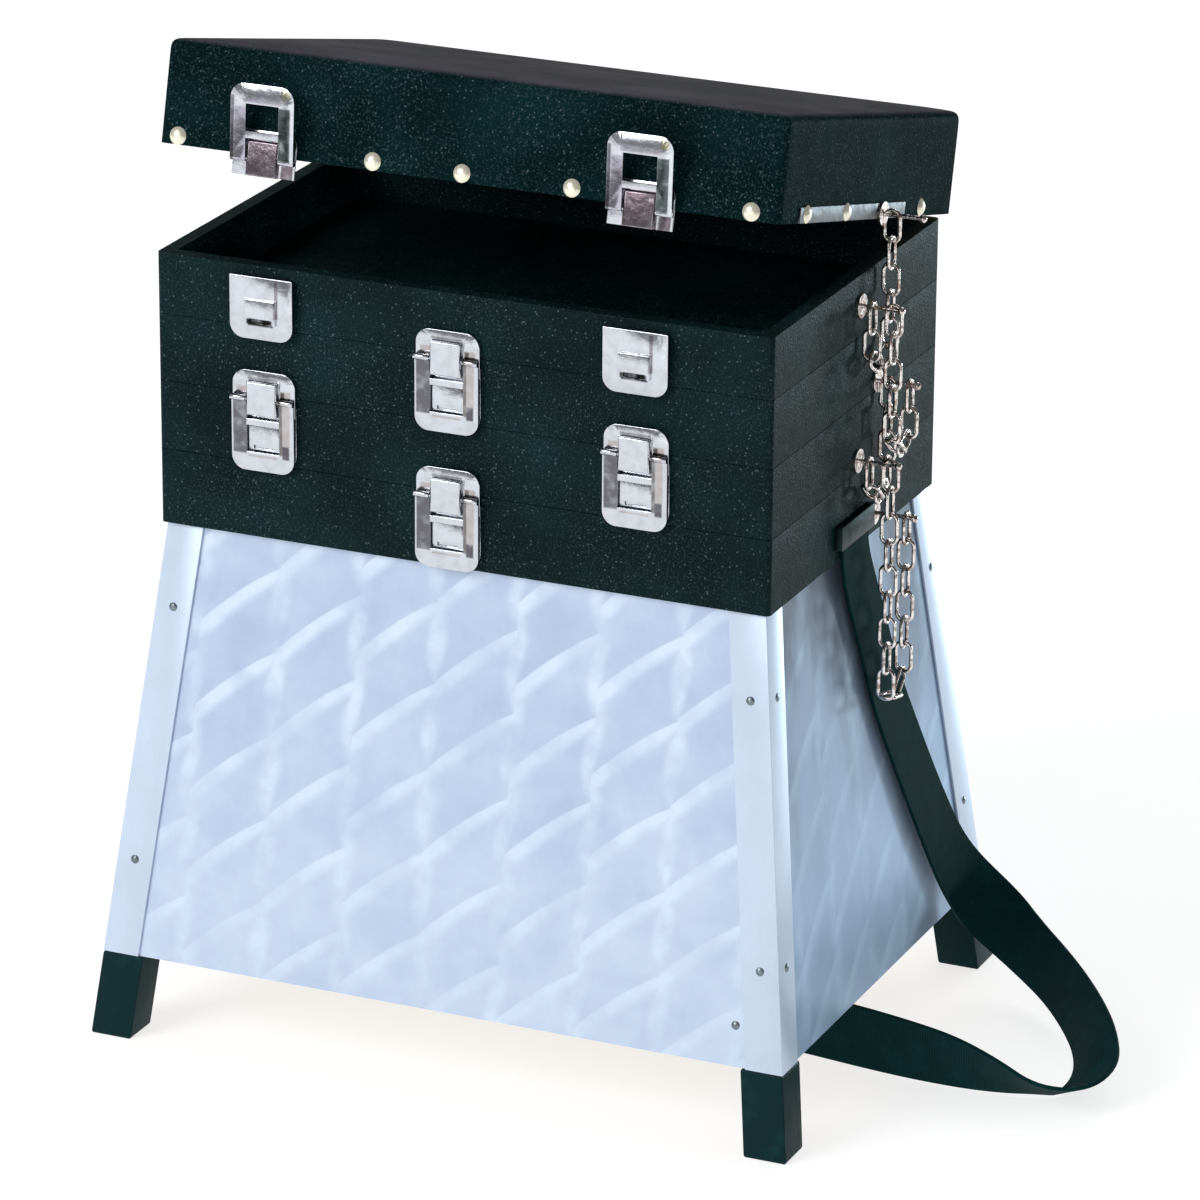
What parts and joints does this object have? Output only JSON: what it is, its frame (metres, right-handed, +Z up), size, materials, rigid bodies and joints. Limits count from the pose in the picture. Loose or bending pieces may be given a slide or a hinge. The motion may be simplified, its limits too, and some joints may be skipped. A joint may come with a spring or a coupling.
{
  "type": "fishing seat box",
  "caption": "Seat box on a flared sheet-metal base with feet, stacked rear-hinged trays, padded lid, snap latches, stay chains and a webbing shoulder strap.",
  "frame": {"origin": "on the floor under the middle of the case, level with the undersides of the feet", "axes": "+Z up, -Y is the front with the latches, +X is the side with the chains; the lid is ajar by 14 degrees at rest and its latches hang open, as in the picture"},
  "size_m": [0.6182, 0.332, 0.5952],
  "materials": {
    "leathercloth": "grained leathercloth, semi-matt",
    "board": "bare plywood",
    "lining_card": "plain lining",
    "seat_foam": "seat foam under its cover",
    "turned_aluminium": "engine-turned sheet",
    "plain_aluminium": "plain satin",
    "foot_block": "satin",
    "bright_nickel": "bright nickel plate",
    "plated_steel": "plated",
    "chain_wire": "plated wire",
    "nail_brass": "polished domes",
    "webbing": "woven webbing"
  },
  "bodies": {
    "base": {"front_panel": "turned_aluminium", "back_panel": "turned_aluminium", "left_panel": "turned_aluminium", "right_panel": "turned_aluminium", "floor_panel": "board", "corner_angle_front_left": "plain_aluminium", "corner_angle_front_right": "plain_aluminium", "corner_angle_back_left": "plain_aluminium", "corner_angle_back_right": "plain_aluminium", "foot_front_left": "foot_block", "foot_front_right": "foot_block", "foot_back_left": "foot_block", "foot_back_right": "foot_block", "panel_rivets": "plain_aluminium", "rim_frame": "leathercloth", "top_battens": "board", "rim_keeper": "bright_nickel", "rim_hinge_leaves": "plated_steel", "rim_hinge_pins": "plated_steel", "strap_plates": "plated_steel", "shoulder_strap": "webbing", "rim_chain_hook": "chain_wire", "tray_three_chain": "chain_wire"},
    "tray_three": {"tray_three": "leathercloth", "tray_three_latch_plates": "bright_nickel", "tray_three_keepers": "bright_nickel", "tray_three_hinge_leaves": "plated_steel", "tray_three_hinge_pins": "plated_steel", "tray_three_chain_hook": "chain_wire", "tray_two_chain": "chain_wire"},
    "tray_two": {"tray_two": "leathercloth", "tray_two_latch_plates": "bright_nickel", "tray_two_keeper": "bright_nickel", "tray_two_hinge_leaves": "plated_steel", "tray_two_hinge_pins": "plated_steel", "tray_two_chain_hook": "chain_wire", "tray_one_chain": "chain_wire"},
    "tray_one": {"tray_one": "leathercloth", "tray_one_latch_plates": "bright_nickel", "tray_one_keepers": "bright_nickel", "tray_one_hinge_leaves": "plated_steel", "tray_one_hinge_pins": "plated_steel", "tray_one_chain_hook": "chain_wire", "lid_chain": "chain_wire"},
    "lid": {"seat_cover": "leathercloth", "seat_pad": "seat_foam", "lid_box": "board", "lid_lining": "lining_card", "lid_nails": "nail_brass", "lid_side_strip": "plated_steel", "lid_latch_plates": "bright_nickel", "lid_hinge_leaves": "plated_steel", "lid_chain_hook": "chain_wire"},
    "hasp_centre_low": {"hasp_centre_low": "bright_nickel"},
    "hasp_middle_left": {"hasp_middle_left": "bright_nickel"},
    "hasp_middle_right": {"hasp_middle_right": "bright_nickel"},
    "hasp_centre_high": {"hasp_centre_high": "bright_nickel"},
    "hasp_lid_left": {"hasp_lid_left": "bright_nickel"},
    "hasp_lid_right": {"hasp_lid_right": "bright_nickel"}
  },
  "joints": [
    {"name": "lid_hinge", "type": "hinge", "parent": "tray_one", "child": "lid", "pos_m": [0, 0.1294, 0.472], "axis": [-1, 0, 0], "range_deg": [-14, 52], "deforming": ["lid_chain"]},
    {"name": "tray_one_hinge", "type": "hinge", "parent": "tray_two", "child": "tray_one", "pos_m": [0, 0.1294, 0.4385], "axis": [-1, 0, 0], "range_deg": [0, 45], "deforming": ["tray_one_chain"]},
    {"name": "tray_two_hinge", "type": "hinge", "parent": "tray_three", "child": "tray_two", "pos_m": [0, 0.1294, 0.3985], "axis": [-1, 0, 0], "range_deg": [0, 38], "deforming": ["tray_two_chain"]},
    {"name": "tray_three_hinge", "type": "hinge", "parent": "base", "child": "tray_three", "pos_m": [0, 0.1294, 0.357], "axis": [-1, 0, 0], "range_deg": [0, 75], "deforming": ["tray_three_chain"]},
    {"name": "hasp_centre_low_pivot", "type": "hinge", "parent": "tray_three", "child": "hasp_centre_low", "pos_m": [-0.006, -0.1309, 0.355], "axis": [-1, 0, 0], "range_deg": [0, 165]},
    {"name": "hasp_middle_left_pivot", "type": "hinge", "parent": "tray_two", "child": "hasp_middle_left", "pos_m": [-0.1215, -0.1309, 0.3965], "axis": [-1, 0, 0], "range_deg": [0, 165]},
    {"name": "hasp_middle_right_pivot", "type": "hinge", "parent": "tray_two", "child": "hasp_middle_right", "pos_m": [0.1095, -0.1309, 0.3965], "axis": [-1, 0, 0], "range_deg": [0, 165]},
    {"name": "hasp_centre_high_pivot", "type": "hinge", "parent": "tray_one", "child": "hasp_centre_high", "pos_m": [-0.006, -0.1309, 0.4365], "axis": [-1, 0, 0], "range_deg": [0, 165]},
    {"name": "hasp_lid_left_pivot", "type": "hinge", "parent": "lid", "child": "hasp_lid_left", "pos_m": [-0.1215, -0.12669, 0.53739], "axis": [-1, 0, 0], "range_deg": [-170, 0]},
    {"name": "hasp_lid_right_pivot", "type": "hinge", "parent": "lid", "child": "hasp_lid_right", "pos_m": [0.1095, -0.12669, 0.53739], "axis": [-1, 0, 0], "range_deg": [-170, 0]}
  ]
}
